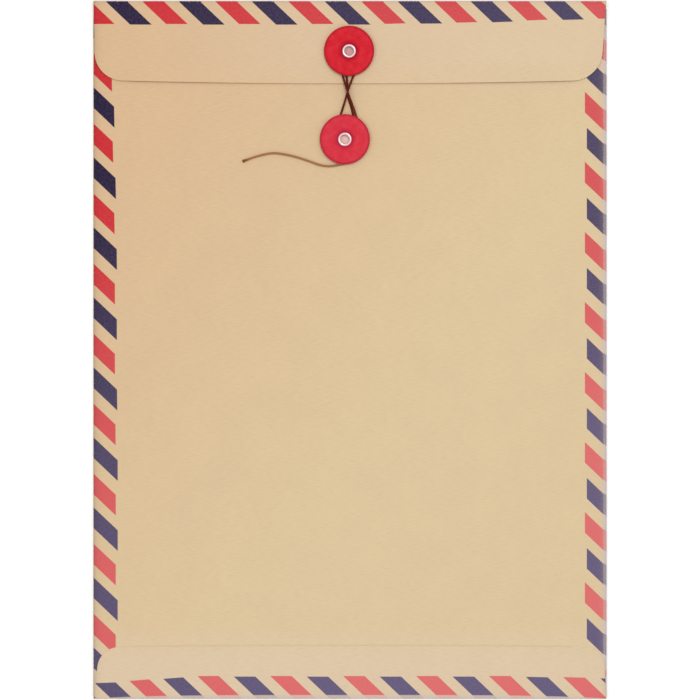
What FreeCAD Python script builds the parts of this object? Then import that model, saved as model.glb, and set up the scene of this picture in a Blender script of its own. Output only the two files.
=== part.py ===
import FreeCAD, Part
import math
import os

# String-tie kraft envelope, lying on its address side with the flap side up.
# Millimetres. X runs across, +Y points at the flap's fold, Z is up.
# The origin is under the middle of the envelope, on the surface it lies on.

V = FreeCAD.Vector
UP = V(0, 0, 1)

# Envelope
WIDTH = 250.0
HEIGHT = 340.0
PAPER = 0.25  # thickness of the kraft sheet
POCKET_GAP = 0.85  # clear height between front and back panel
CORNER_NICK = 0.3  # each flap starts this far inside the panel's side

# Back panel, its side seam and its mouth
SEAM_STEP = 1.4  # the back panel's cut edge stops this far short of the right fold
GLUE_FLAP_WIDTH = 15.0
GLUE_FLAP_SLANT = 10.0  # its ends taper by this much
MOUTH_DROP = 4.0  # the back panel's upper edge lies this far below the top fold
BOTTOM_EASE = 0.25  # the back panel ends this far inside the bottom fold's bend

# Bottom flap, glued onto the back panel
BOTTOM_FLAP_DEPTH = 25.9
BOTTOM_FLAP_BOW = 0.8  # its ends are this much shorter than its middle
BOTTOM_FLAP_TAPERS = 2.8, 1.0  # the left and the right side narrow by this much over the depth
BOTTOM_FLAP_CORNER = 9.0

# Closure flap, folded down and held by the string
FLAP_DEPTH = 40.4
FLAP_BOW = 1.7
FLAP_TAPERS = 0.7, 2.8
FLAP_CORNER = 13.0
FLAP_LIFT = 0.6  # clear height under the flap at its eyelet
FLAP_EDGE_LIFT = 0.25  # clear height under its free edge
FLAP_BEND_BELOW = 3.8  # the flap starts to bend down this far below its eyelet's centre

# Discs and eyelets
DISC_DIAMETER = 24.4
DISC_CARD = 0.7  # thickness
DISC_RISE = 1.05  # the rim stands this far off the paper, for the string
DISC_SEAT_RADIUS = 3.6  # flat middle that is clamped on the paper
DISC_DIMPLE_RUN = 2.0  # width of the slope from the seat to the raised rim
DISC_EDGE_BEVEL = 0.15
EYELET_BORE = 4.4
EYELET_METAL = 0.25
EYELET_FLANGE = 6.7  # outer diameter of the visible flange
EYELET_CRIMP = 6.1  # outer diameter of the rolled end behind the paper
EYELET_BEAD = 0.45  # height of the flange and of the rolled end
EYELET_BEVEL = 0.25  # the beads' edges fall away by this much
HOLE_CLEARANCE = 0.05  # radial, round the eyelet's barrel
UPPER_DISC_ACROSS = -0.44  # its centre, from the envelope's middle
UPPER_DISC_DROP = 24.7  # its centre, below the closure flap's fold
LOWER_DISC_ACROSS = -2.5
LOWER_DISC_DROP = 67.6

# String
STRING_DIAMETER = 0.9
STRING_SIDES = 8  # its plain section
STRING_CLEARANCE = 0.03  # between the string and the paper it lies on
ARC_SHARE = 0.45  # each arc uses this share of its shorter run

# Printed border
INK = 0.05  # depth to which the ink soaks into the outer face
STRIPE_SLOPE = 0.95  # fall of a stripe for each millimetre across
END_PERIOD = 35.5  # from one stripe to the next of its colour, at the top and the bottom
SIDE_PERIOD = 34.1  # the same down the sides
TOP_BAND = 11.3
BOTTOM_BAND = 10.9
LEFT_BAND = 11.5
RIGHT_BAND = 9.7
NAVY_ALONG_ENDS = 10.5  # length of a navy stripe along a fold at the top and the bottom
NAVY_ALONG_SIDES = 10.1
RED_ALONG_ENDS = 10.5
RED_ALONG_SIDES = 10.1
RED_SLIP_X = -0.95  # the red plate printed this far off, seen on the flap side
RED_SLIP_Y = 0.3
# Where a stripe starts, from the middle of each fold line
NAVY_TOP, RED_TOP = -12.9, 4.9
NAVY_BOTTOM, RED_BOTTOM = -9.6, 8.4
NAVY_LEFT, RED_LEFT = -18.5, -2.1
NAVY_RIGHT, RED_RIGHT = -13.5, 3.1

# Levels and fold radii
back_level = PAPER + POCKET_GAP  # underside of the back panel
back_top = back_level + PAPER
flap_level = back_top + FLAP_LIFT
flap_top = flap_level + PAPER
left_fold = back_top / 2
right_fold = back_level / 2
foot_top = back_top + PAPER  # outer face of the bottom flap
bottom_fold = foot_top / 2
top_fold = flap_top / 2

# Edges of the lying envelope
left, right = -WIDTH / 2, WIDTH / 2
bottom, top = -HEIGHT / 2, HEIGHT / 2
flap_left, flap_right = left + CORNER_NICK, right - CORNER_NICK
seam_edge = right - SEAM_STEP
mouth = top - MOUTH_DROP
back_foot = bottom + bottom_fold + BOTTOM_EASE
upper_disc = (UPPER_DISC_ACROSS, top - UPPER_DISC_DROP)  # on the flap
lower_disc = (LOWER_DISC_ACROSS, top - LOWER_DISC_DROP)  # on the back panel
hole_radius = EYELET_BORE / 2 + EYELET_METAL + HOLE_CLEARANCE
TALL = 20.0  # taller than everything here, for cutting prisms

# The string's path, from the upper eyelet round both discs to its loose end: its centre line's
# places across the envelope, below the closure flap's fold, and up
string_on_back = back_top + STRING_DIAMETER / 2 + STRING_CLEARANCE
string_on_flap = flap_top + STRING_DIAMETER / 2 + STRING_CLEARANCE
STRING_ROUTE = (
    (-2.42, 29.9, string_on_flap),
    (-1.3, 38.8, 2.6),
    (-1.1, 46.9, 2.16),
    (0.6, 51.6, 1.87),
    (2.45, 60.2, string_on_back),
    (3.5, 68.9, string_on_back),
    (1.15, 72.5, string_on_back),
    (-3.0, 73.7, string_on_back),
    (-6.95, 71.85, string_on_back),
    (-8.65, 67.85, string_on_back),
    (-4.42, 55.25, 1.87),
    (-2.6, 49.7, 2.56),
    (-1.25, 44.8, 3.27),
    (-0.2, 41.6, 3.27),
    (1.6, 37.0, 2.76),
    (3.75, 30.5, string_on_flap),
    (5.95, 24.3, string_on_flap),
    (3.95, 20.0, string_on_flap),
    (-0.5, 18.1, string_on_flap),
    (-5.4, 19.8, string_on_flap),
    (-7.5, 24.8, string_on_flap),
    (-4.94, 32.5, string_on_flap),
    (-3.33, 37.3, 2.75),
    (-1.65, 43.2, 4.2),
    (-0.55, 46.4, 4.2),
    (1.77, 52.4, 2.68),
    (3.1, 56.7, 1.84),
    (5.5, 62.4, string_on_back),
    (6.6, 68.8, string_on_back),
    (4.9, 74.7, string_on_back),
    (0.6, 78.4, string_on_back),
    (-4.7, 80.1, string_on_back),
    (-12.6, 81.0, string_on_back),
    (-21.4, 77.6, string_on_back),
    (-30.2, 75.0, string_on_back),
    (-40.6, 73.7, string_on_back),
    (-52.2, 78.3, string_on_back),
)


# Helpers
def closed_face(start, moves):
    """A flat face: each move is a point to draw a line to, or a pair for an arc through and to."""
    edges = []
    here = start
    for move in list(moves) + [start]:
        if isinstance(move, tuple):
            through, end = move
            edges.append(Part.Arc(here, through, end).toShape())
        else:
            end = move
            edges.append(Part.LineSegment(here, end).toShape())
        here = end
    return Part.Face(Part.Wire(edges))


def side_place(across, along, z):
    """A place on a fold that runs along Y: the left and right edges."""
    return V(across, along, z)


def end_place(across, along, z):
    """A place on a fold that runs along X: the top and bottom edges."""
    return V(along, across, z)


def box_between(low, high):
    size = high - low
    return Part.makeBox(size.x, size.y, size.z, low)


def fuse_all(solids):
    return solids[0].multiFuse(solids[1:]).removeSplitter()


# Folded paper
def paper_fold(edge, inward, outer, start, end, place):
    """Half a tube of paper whose bend touches the envelope's edge."""
    middle = edge + inward * outer
    inner_edge = edge + inward * PAPER

    def at(across, z):
        return place(across, start, z)

    section = closed_face(
        at(middle, 0),
        [
            (at(edge, outer), at(middle, 2 * outer)),
            at(middle, 2 * outer - PAPER),
            (at(inner_edge, outer), at(middle, PAPER)),
        ],
    )
    return section.extrude(place(0, end - start, 0))


def flap_outline(fold_edge, inward, depth, bow, tapers, corner):
    """A tall prism of a flap's outline, with bowed free edge and rounded corners."""
    tip = fold_edge + inward * depth
    ends = tip - inward * bow
    left_end = V(flap_left + tapers[0], ends, -1)
    right_end = V(flap_right - tapers[1], ends, -1)
    face = closed_face(
        V(flap_left, fold_edge - inward, -1),
        [left_end, (V(0, tip, -1), right_end), V(flap_right, fold_edge - inward, -1)],
    )
    prism = face.extrude(UP * TALL)
    corners = [
        e
        for e in prism.Edges
        if abs(e.Vertexes[0].X - e.Vertexes[-1].X) < 1e-6
        and abs(e.Vertexes[0].Y - ends) < 1e-6
        and abs(e.Vertexes[-1].Y - ends) < 1e-6
    ]
    return prism.makeFillet(corner, corners)


def front_panel():
    """The address side; beyond the mouth it is as wide as the closure flap."""
    panel = box_between(
        V(left + left_fold, bottom + bottom_fold, 0),
        V(right - right_fold, top - top_fold, PAPER),
    )
    beyond_mouth = box_between(V(flap_left, mouth, 0), V(flap_right, top - top_fold, PAPER))
    return panel.fuse(beyond_mouth)


def back_panel():
    return box_between(
        V(left + left_fold, back_foot, back_level), V(seam_edge, mouth, back_top)
    )


def glue_flap():
    """The strip that carries the side seam, inside under the back panel."""
    root = right - right_fold
    tip = root - GLUE_FLAP_WIDTH
    face = closed_face(
        V(root, back_foot, back_level - PAPER),
        [
            V(root, mouth, back_level - PAPER),
            V(tip, mouth - GLUE_FLAP_SLANT, back_level - PAPER),
            V(tip, back_foot + GLUE_FLAP_SLANT, back_level - PAPER),
        ],
    )
    return face.extrude(UP * PAPER)


def flap_bend():
    """Where the closure flap starts to bend down, and the radius of its underside there."""
    start = upper_disc[1] - FLAP_BEND_BELOW
    run = start - (top - FLAP_DEPTH)
    drop = FLAP_LIFT - FLAP_EDGE_LIFT
    radius = (run**2 + drop**2) / (2 * drop)
    return start, run, radius


def bent_flap():
    """The closure flap's sheet, from its fold to a little past its free edge."""
    start, run, radius = flap_bend()
    centre_z = flap_level - radius
    reach = math.asin((run + FLAP_BOW) / radius)

    def at(r, angle):
        return V(left, start - r * math.sin(angle), centre_z + r * math.cos(angle))

    outer = radius + PAPER
    root = top - top_fold
    face = closed_face(
        V(left, root, flap_top),
        [
            V(left, start, flap_top),
            (at(outer, reach / 2), at(outer, reach)),
            at(radius, reach),
            (at(radius, reach / 2), V(left, start, flap_level)),
            V(left, root, flap_level),
        ],
    )
    return face.extrude(V(WIDTH, 0, 0))


def closure_flap_outline():
    return flap_outline(top, -1, FLAP_DEPTH, FLAP_BOW, FLAP_TAPERS, FLAP_CORNER)


def closure_flap():
    fold = paper_fold(top, -1, top_fold, left, right, end_place)
    return bent_flap().fuse(fold).common(closure_flap_outline())


def bottom_flap():
    sheet = box_between(
        V(left, bottom + bottom_fold, back_top),
        V(right, bottom + BOTTOM_FLAP_DEPTH, foot_top),
    )
    fold = paper_fold(bottom, 1, bottom_fold, left, right, end_place)
    return sheet.fuse(fold).common(bottom_flap_outline())


def bottom_flap_outline():
    return flap_outline(
        bottom, 1, BOTTOM_FLAP_DEPTH, BOTTOM_FLAP_BOW, BOTTOM_FLAP_TAPERS, BOTTOM_FLAP_CORNER
    )


def eyelet_hole(place, low, high):
    return Part.makeCylinder(hole_radius, high - low, V(place[0], place[1], low))


def folded_sheet():
    """The whole envelope, cut from one blank and folded at all four sides."""
    solid = fuse_all(
        [
            front_panel(),
            paper_fold(left, 1, left_fold, back_foot, mouth, side_place),
            back_panel(),
            paper_fold(right, -1, right_fold, back_foot, mouth, side_place),
            glue_flap(),
            bottom_flap(),
            closure_flap(),
        ]
    )
    upper = eyelet_hole(upper_disc, (back_top + flap_level) / 2, flap_top + PAPER)
    lower = eyelet_hole(lower_disc, back_level - PAPER, back_top + PAPER)
    return solid.cut(upper).cut(lower)


# Printed border
def slanted_prisms(edge, inward, width, first, period, along, slope, place, half_length):
    """Tall slanted prisms, one for each stripe, starting from the first stripe at the edge."""
    outer = edge - inward
    inner = edge + inward * (width + 1)
    drift = abs(slope) * (width + 1)
    lowest = math.floor((-half_length - drift - along - first) / period)
    highest = math.ceil((half_length + drift - first) / period)
    prisms = []
    for count in range(lowest, highest + 1):
        start = first + count * period
        at_outer = start + slope * (outer - edge)
        at_inner = start + slope * (inner - edge)
        face = closed_face(
            place(outer, at_outer, -1),
            [
                place(outer, at_outer + along, -1),
                place(inner, at_inner + along, -1),
                place(inner, at_inner, -1),
            ],
        )
        prisms.append(face.extrude(UP * TALL))
    return prisms


def pieces_inside(layer, prisms):
    return [s for prism in prisms for s in layer.common(prism).Solids]


def end_stripes(layer, edge, inward, width, first, along, front=False):
    """Stripes of one colour along the top or the bottom edge."""
    slope = 1 / STRIPE_SLOPE if front else -1 / STRIPE_SLOPE
    prisms = slanted_prisms(
        edge, inward, width, first, END_PERIOD, along, slope, end_place, WIDTH / 2
    )
    return pieces_inside(layer, prisms)


def side_stripes(layer, edge, inward, width, first, along, front=False):
    """Stripes of one colour down the left or the right edge."""
    slope = STRIPE_SLOPE if front else -STRIPE_SLOPE
    prisms = slanted_prisms(
        edge, inward, width, first, SIDE_PERIOD, along, slope, side_place, HEIGHT / 2
    )
    return pieces_inside(layer, prisms)


def back_border(bands, firsts, along_ends, along_sides):
    """One colour on the flap side: the flaps carry the ends, the back panel the sides."""
    top_band, bottom_band, left_band, right_band = bands
    top_first, bottom_first, left_first, right_first = firsts
    flap_skin = box_between(
        V(left, top - top_band, flap_top - INK), V(right, top - top_fold, flap_top)
    ).common(closure_flap_outline())
    foot_skin = box_between(
        V(left, bottom + bottom_fold, foot_top - INK), V(right, bottom + bottom_band, foot_top)
    ).common(bottom_flap_outline())
    left_skin = box_between(
        V(left + left_fold, back_foot, back_top - INK), V(left + left_band, mouth, back_top)
    ).cut(bottom_flap_outline())
    right_skin = box_between(
        V(right - right_band, back_foot, back_top - INK), V(seam_edge, mouth, back_top)
    ).cut(bottom_flap_outline())
    return (
        end_stripes(flap_skin, top, -1, top_band, top_first, along_ends)
        + end_stripes(foot_skin, bottom, 1, bottom_band, bottom_first, along_ends)
        + side_stripes(left_skin, left, 1, left_band, left_first, along_sides)
        + side_stripes(right_skin, right, -1, right_band, right_first, along_sides)
    )


def front_border(bands, firsts, along_ends, along_sides):
    """One colour on the address side, where the stripes lean the other way seen from above."""
    top_band, bottom_band, left_band, right_band = bands
    top_first, bottom_first, left_first, right_first = firsts
    inner_left, inner_right = left + left_fold, right - right_fold
    low, high = bottom + bottom_band, top - top_band
    top_skin = box_between(V(inner_left, high, 0), V(inner_right, top - top_fold, INK))
    bottom_skin = box_between(V(inner_left, bottom + bottom_fold, 0), V(inner_right, low, INK))
    left_skin = box_between(V(inner_left, low, 0), V(left + left_band, high, INK))
    right_skin = box_between(V(right - right_band, low, 0), V(inner_right, high, INK))
    return (
        end_stripes(top_skin, top, -1, top_band, top_first, along_ends, True)
        + end_stripes(bottom_skin, bottom, 1, bottom_band, bottom_first, along_ends, True)
        + side_stripes(left_skin, left, 1, left_band, left_first, along_sides, True)
        + side_stripes(right_skin, right, -1, right_band, right_first, along_sides, True)
    )


def navy_print():
    bands = (TOP_BAND, BOTTOM_BAND, LEFT_BAND, RIGHT_BAND)
    firsts = (NAVY_TOP, NAVY_BOTTOM, NAVY_LEFT, NAVY_RIGHT)
    back = back_border(bands, firsts, NAVY_ALONG_ENDS, NAVY_ALONG_SIDES)
    return back + front_border(bands, firsts, NAVY_ALONG_ENDS, NAVY_ALONG_SIDES)


def red_print():
    """The red plate printed a little off the navy one, so its bands end elsewhere."""
    slip_x, slip_y = RED_SLIP_X, RED_SLIP_Y
    bands = (TOP_BAND, BOTTOM_BAND, LEFT_BAND, RIGHT_BAND)
    slips = (-slip_y, slip_y, slip_x, -slip_x)
    back_bands = [band + slip for band, slip in zip(bands, slips)]
    front_bands = [band - slip for band, slip in zip(bands, slips)]
    firsts = (RED_TOP, RED_BOTTOM, RED_LEFT, RED_RIGHT)
    back = back_border(back_bands, firsts, RED_ALONG_ENDS, RED_ALONG_SIDES)
    return back + front_border(front_bands, firsts, RED_ALONG_ENDS, RED_ALONG_SIDES)


# Discs and eyelets
def turned(profile, place, level):
    """A solid of revolution from (radius, height) points, set down at its place."""
    points = [V(radius, 0, height) for radius, height in profile]
    solid = closed_face(points[0], points[1:]).revolve(V(0, 0, 0), UP, 360)
    solid.translate(V(place[0], place[1], level))
    return solid


def disc(place, level):
    """A round of card, pressed down in the middle so that the string fits under its rim."""
    rim = DISC_DIAMETER / 2
    shoulder = DISC_SEAT_RADIUS + DISC_DIMPLE_RUN
    slope = math.atan2(DISC_RISE, DISC_DIMPLE_RUN)
    inset = DISC_CARD * math.tan(slope / 2)  # keeps the card as thick on the slope
    face = DISC_RISE + DISC_CARD
    profile = [
        (hole_radius, 0),
        (DISC_SEAT_RADIUS, 0),
        (shoulder, DISC_RISE),
        (rim, DISC_RISE),
        (rim, face - DISC_EDGE_BEVEL),
        (rim - DISC_EDGE_BEVEL, face),
        (shoulder - inset, face),
        (DISC_SEAT_RADIUS - inset, DISC_CARD),
        (hole_radius, DISC_CARD),
    ]
    return turned(profile, place, level)


def rolled_rim(bore, rim, seat, outward):
    """Half of an eyelet's section: from its seat round the domed rim into the bore."""
    crown = seat + outward * EYELET_BEAD
    return [
        (rim, seat),
        (rim, seat + outward * EYELET_BEAD / 2),
        (rim - EYELET_BEVEL, crown),
        (bore + EYELET_BEVEL, crown),
        (bore, crown - outward * EYELET_BEVEL),
    ]


def eyelet(place, level):
    """A tube with a domed flange on the disc and a rolled end behind the paper."""
    bore = EYELET_BORE / 2
    barrel = bore + EYELET_METAL
    flange = rolled_rim(bore, EYELET_FLANGE / 2, DISC_CARD, 1)
    crimp = rolled_rim(bore, EYELET_CRIMP / 2, -PAPER, -1)
    profile = [(barrel, -PAPER), (barrel, DISC_CARD)] + flange + crimp[::-1]
    return turned(profile, place, level)


# String
def string_points():
    return [V(across, top - drop, up) for across, drop, up in STRING_ROUTE]


def string_section():
    """An eight-sided section, square to the string's start."""
    start, after = string_points()[:2]
    heading = after - start
    sideways = heading.cross(UP).normalize() * (STRING_DIAMETER / 2)
    turn = FreeCAD.Rotation(heading, 360 / STRING_SIDES)
    corners = []
    for _ in range(STRING_SIDES):
        corners.append(start + sideways)
        sideways = turn.multVec(sideways)
    return closed_face(corners[0], corners[1:])


def tie_string():
    """Straight runs joined by tangent arcs; the section is carried along each in turn."""
    points = string_points()
    section = string_section()
    area = section.Area
    spans, radii = [], []
    length = 0.0
    here = points[0]
    for before, corner, after in zip(points, points[1:], points[2:]):
        back = before - corner
        ahead = after - corner
        tangent = ARC_SHARE * min(back.Length, ahead.Length)
        back.normalize()
        ahead.normalize()
        turn = math.pi - back.getAngle(ahead)
        radius = tangent / math.tan(turn / 2)
        start = corner + back * tangent
        run = start - here
        spans.append(section.extrude(run))
        section.translate(run)
        towards_centre = (back + ahead).normalize()
        centre = corner + towards_centre * (radius / math.cos(turn / 2))
        axis = ahead.cross(back).normalize()
        degrees = math.degrees(turn)
        spans.append(section.revolve(centre, axis, degrees))
        section.rotate(centre, axis, degrees)
        length += run.Length + radius * turn
        radii.append(round(radius, 1))
        here = corner + ahead * tangent
    run = points[-1] - here
    spans.append(section.extrude(run))
    length += run.Length
    tube = fuse_all(spans)
    print("string: length", round(length, 2), "arc radii", radii)
    print("string: volume", round(tube.Volume, 3), "section by length", round(area * length, 3))
    return tube


def write(name, shape):
    shape.exportStep("parts/" + name + ".step")
    print(name, len(shape.Solids), "solids", round(shape.Volume, 3), "mm3", "valid", shape.isValid())


def main():
    os.makedirs("parts", exist_ok=True)
    navy = Part.makeCompound(navy_print())
    red = Part.makeCompound(red_print())
    write("paper_sheet", folded_sheet().cut(navy).cut(red))
    write("navy_stripes", navy)
    write("red_stripes", red)
    write("flap_disc", disc(upper_disc, flap_top))
    write("body_disc", disc(lower_disc, back_top))
    write("flap_eyelet", eyelet(upper_disc, flap_top))
    write("body_eyelet", eyelet(lower_disc, back_top))
    write("tie_string", tie_string())


main()
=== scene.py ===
"""Dresses the string-tie paper envelope: its folded paper and print, discs, eyelets and string.

Metres. X runs across, +Y points at the closure flap's fold, Z is up.
"""

import math

import bmesh
import bpy
import numpy as np
from bpy.props import FloatProperty, FloatVectorProperty, IntProperty, PointerProperty
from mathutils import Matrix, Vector


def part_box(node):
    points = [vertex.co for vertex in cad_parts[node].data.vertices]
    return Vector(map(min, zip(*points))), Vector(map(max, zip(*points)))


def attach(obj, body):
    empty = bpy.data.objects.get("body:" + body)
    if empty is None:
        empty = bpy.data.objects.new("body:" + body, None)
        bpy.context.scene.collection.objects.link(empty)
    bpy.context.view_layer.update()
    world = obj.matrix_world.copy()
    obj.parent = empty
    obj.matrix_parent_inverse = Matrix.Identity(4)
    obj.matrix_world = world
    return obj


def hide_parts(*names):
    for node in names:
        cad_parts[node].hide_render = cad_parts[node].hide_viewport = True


bl_info = {
    "name": "String-tie envelope",
    "version": (1, 0, 0),
    "blender": (4, 5, 0),
    "location": "View3D > Sidebar > Envelope",
    "description": "Dresses a string-tie paper envelope: paper, print, discs, eyelets and string",
    "category": "Object",
}

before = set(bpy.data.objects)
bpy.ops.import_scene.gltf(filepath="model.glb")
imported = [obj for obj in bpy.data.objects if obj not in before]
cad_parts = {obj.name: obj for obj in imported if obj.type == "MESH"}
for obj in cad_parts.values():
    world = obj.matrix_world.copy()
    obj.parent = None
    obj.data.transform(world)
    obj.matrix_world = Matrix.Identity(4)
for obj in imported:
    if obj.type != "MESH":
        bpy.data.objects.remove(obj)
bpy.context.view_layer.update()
SHEET_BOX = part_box("paper_sheet")
UPPER_CARD_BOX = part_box("flap_disc")
LOWER_CARD_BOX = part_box("body_disc")

MM = 0.001

# Envelope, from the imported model
LEFT, RIGHT = SHEET_BOX[0].x, SHEET_BOX[1].x
BOTTOM, TOP = SHEET_BOX[0].y, round(SHEET_BOX[1].y, 4)
UPPER_DISC = (UPPER_CARD_BOX[0] + UPPER_CARD_BOX[1]) / 2
LOWER_DISC = (LOWER_CARD_BOX[0] + LOWER_CARD_BOX[1]) / 2

# Folded sheet
PAPER = 0.25 * MM
BACK_TOP = LOWER_CARD_BOX[0].z
FLAP_TOP = UPPER_CARD_BOX[0].z
FOOT_TOP = BACK_TOP + PAPER
LEFT_FOLD = BACK_TOP / 2
RIGHT_FOLD = (BACK_TOP - PAPER) / 2
BOTTOM_FOLD = FOOT_TOP / 2
TOP_FOLD = FLAP_TOP / 2
CORNER_NICK = 0.3 * MM
SEAM_STEP = 1.4 * MM
CUT_STRIP = 0.35 * MM  # the narrow strip along the back panel's cut edge that wears
GLUE_FLAP_WIDTH = 15 * MM
GLUE_FLAP_SLANT = 10 * MM
MOUTH = TOP - 4 * MM
BACK_FOOT = BOTTOM + BOTTOM_FOLD + 0.25 * MM
FLAP_LEFT, FLAP_RIGHT = LEFT + CORNER_NICK, RIGHT - CORNER_NICK
BOTTOM_FLAP = {"depth": 25.9 * MM, "bow": 0.8 * MM, "tapers": (2.8 * MM, 1.0 * MM), "corner": 9 * MM}
CLOSURE_FLAP = {"depth": 40.4 * MM, "bow": 1.7 * MM, "tapers": (0.7 * MM, 2.8 * MM), "corner": 13 * MM}
FLAP_BEND_START = UPPER_DISC.y - 3.8 * MM
FLAP_BEND_RADIUS = 202.5 * MM
HOLE_RADIUS = 2.5 * MM
FAR_EDGE = 2 * LEFT - RIGHT  # where the back panel would meet the right fold, on the blank
BEND_POINTS, HALF_BEND_POINTS, CORNER_POINTS = 9, 7, 13
ROUNDING = 1e-9  # a point at the end of a bend still belongs to it
SAME_POINT = 0.001 * MM  # points of two patches closer than this are one

# How the empty envelope's layers lie: the tie holds them flat, and the flap's ends spring open
TIE_MIDDLE, TIE_REACH = (-18 * MM, 112 * MM), (58 * MM, 50 * MM)
SPRING_START, SPRING_REACH = 18 * MM, 60 * MM
CORNER_EASE = 20 * MM
FOOT_EASE, FLAP_EASE = 4 * MM, 6 * MM

# String: centre line's places across, below the closure flap's fold, and up, in millimetres
ON_BACK = BACK_TOP / MM + 0.5
ON_FLAP = FLAP_TOP / MM + 0.5
STRING_ROUTE = (
    (-2.42, 29.9, ON_FLAP),
    (-1.3, 38.8, 2.6),
    (-1.1, 46.9, 2.16),
    (0.6, 51.6, 1.87),
    (2.45, 60.2, ON_BACK),
    (3.5, 68.9, ON_BACK),
    (1.15, 72.5, ON_BACK),
    (-3.0, 73.7, ON_BACK),
    (-6.95, 71.85, ON_BACK),
    (-8.65, 67.85, ON_BACK),
    (-4.42, 55.25, 1.87),
    (-2.6, 49.7, 2.56),
    (-1.25, 44.8, 3.27),
    (-0.2, 41.6, 3.27),
    (1.6, 37.0, 2.76),
    (3.75, 30.5, ON_FLAP),
    (5.95, 24.3, ON_FLAP),
    (3.95, 20.0, ON_FLAP),
    (-0.5, 18.1, ON_FLAP),
    (-5.4, 19.8, ON_FLAP),
    (-7.5, 24.8, ON_FLAP),
    (-4.94, 32.5, ON_FLAP),
    (-3.33, 37.3, 2.75),
    (-1.65, 43.2, 4.2),
    (-0.55, 46.4, 4.2),
    (1.77, 52.4, 2.68),
    (3.1, 56.7, 1.84),
    (5.5, 62.4, ON_BACK),
    (6.6, 68.8, ON_BACK),
    (4.9, 74.7, ON_BACK),
    (0.6, 78.4, ON_BACK),
    (-4.7, 80.1, ON_BACK),
    (-12.6, 81.0, ON_BACK),
    (-21.4, 77.6, ON_BACK),
    (-30.2, 75.0, ON_BACK),
    (-40.6, 73.7, ON_BACK),
    (-52.2, 78.3, ON_BACK),
)
ROUTE_SAMPLES = 24  # spline points worked out between two route points
THREE_PLY_LAY = 1.155  # three touching plies lie this many of their own radii from the middle
TWIST_STEPS = 12
FRAY = 0.9

# Card discs: the dished section, and how the card gives over the string
DISC_SEAT, DISC_SHOULDER, DISC_EDGE = 3.6 * MM, 5.6 * MM, 0.15 * MM
RIDGE, RIDGE_REACH, WOBBLE = 0.07 * MM, 0.75 * MM, 0.04 * MM
RIDGE_START, RIDGE_EASE = 4.6 * MM, 2 * MM
WOBBLE_START, WOBBLE_EASE = 6 * MM, 6 * MM
# painted shade in the dimple round the eyelet, and beside the eyelet's flange
DIMPLE_SHADE_RING = (6.6 * MM, 3.3 * MM)  # each ring's tone comes in from its first radius to its second
FLANGE_SHADE_RING = (4.5 * MM, 3.7 * MM)
DARK_RIM = (10.8 * MM, 11.7 * MM)
EYELET_SEGMENTS = 96

# Printed border, as the blank carries it. A plate gives each fold line's first stripe.
STRIPE_SLOPE = 0.95
END_PERIOD, SIDE_PERIOD = 35.5 * MM, 34.1 * MM
END_LENGTH, SIDE_LENGTH = 10.5 * MM, 10.1 * MM
TOP_BAND, BOTTOM_BAND, LEFT_BAND, RIGHT_BAND = 11.3 * MM, 10.9 * MM, 11.5 * MM, 9.7 * MM
NAVY_PLATE = {
    "top": -12.9 * MM,
    "bottom": -9.6 * MM,
    "left": -18.5 * MM,
    "right": -13.5 * MM,
    "slip_across": 0.0,
    "slip_along": 0.0,
}
RED_PLATE = {
    "top": 4.9 * MM,
    "bottom": 8.4 * MM,
    "left": -2.1 * MM,
    "right": 3.1 * MM,
    "slip_across": 0.95 * MM,
    "slip_along": -0.3 * MM,
}
SEAM_SLIP = 0.6 * MM  # the stripes don't quite meet across the side seam

# Where a band's width drifts: from one place to another, by so much
TOP_LEAN = ((0.3 * RIGHT, RIGHT, -2.1 * MM), (0.3 * RIGHT, 0.1 * RIGHT, 0.5 * MM))
BOTTOM_LEAN = ((0.55 * LEFT, LEFT, -3.1 * MM), (0.6 * RIGHT, RIGHT, -0.9 * MM))
LEFT_LEAN = ((35 * MM, 140 * MM, -1.5 * MM), (0.0, -60 * MM, 0.4 * MM))

# Painted light and shade on the outer face, and its cooler ends
TOP_STRIP, TOP_STRIP_EDGE = 0.6 * MM, 0.15 * MM
BOTTOM_STRIP, BOTTOM_STRIP_BOW, BOTTOM_STRIP_EDGE = 1.9 * MM, 1.6 * MM, 0.2 * MM
SHADOW_START, SHADOW_END = 104 * MM, 112 * MM  # a flap's painted edge shadow runs out between these
GLARE_DOWN, GLARE_ACROSS = 0.75, 0.53
COOL_TOP = (TOP - 52 * MM, TOP - 22 * MM)  # the paper's cooler ends come in over these stretches
COOL_FOOT = (BOTTOM + 38 * MM, BOTTOM + 16 * MM)
# painted shade on the paper in the upper eyelet's bore, painted light in the lower one
BORE_TONE_RADIUS, BORE_TONE_EDGE = 2.9 * MM, 0.35  # radius, and the share of it that fades out

# Stage
TABLE_REACH, TABLE_DROP = 6.0, 0.05 * MM
KEY_PLACE, FILL_PLACE = (0.6, 0.95, 2.9), (-1.6, -0.3, 2.6)


def linear(red, green, blue):
    """A colour given as 0 to 255 in sRGB, as Blender's linear values."""

    def channel(value):
        share = value / 255
        return share / 12.92 if share <= 0.04045 else ((share + 0.055) / 1.055) ** 2.4

    return (channel(red), channel(green), channel(blue))


def colour_property(name, description, rgb):
    return FloatVectorProperty(
        name=name,
        description=description,
        default=linear(*rgb),
        subtype="COLOR",
        size=3,
        min=0,
        max=1,
    )


def length_property(name, description, metres):
    return FloatProperty(
        name=name, description=description, default=metres, subtype="DISTANCE", unit="LENGTH", precision=5
    )


def share_property(name, description, value):
    return FloatProperty(
        name=name, description=description, default=value, subtype="FACTOR", min=0, max=1
    )


def power_property(name, description, watts):
    return FloatProperty(name=name, description=description, default=watts, unit="POWER")


def count_property(name, description, number, least):
    return IntProperty(name=name, description=description, default=number, min=least)


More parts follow.
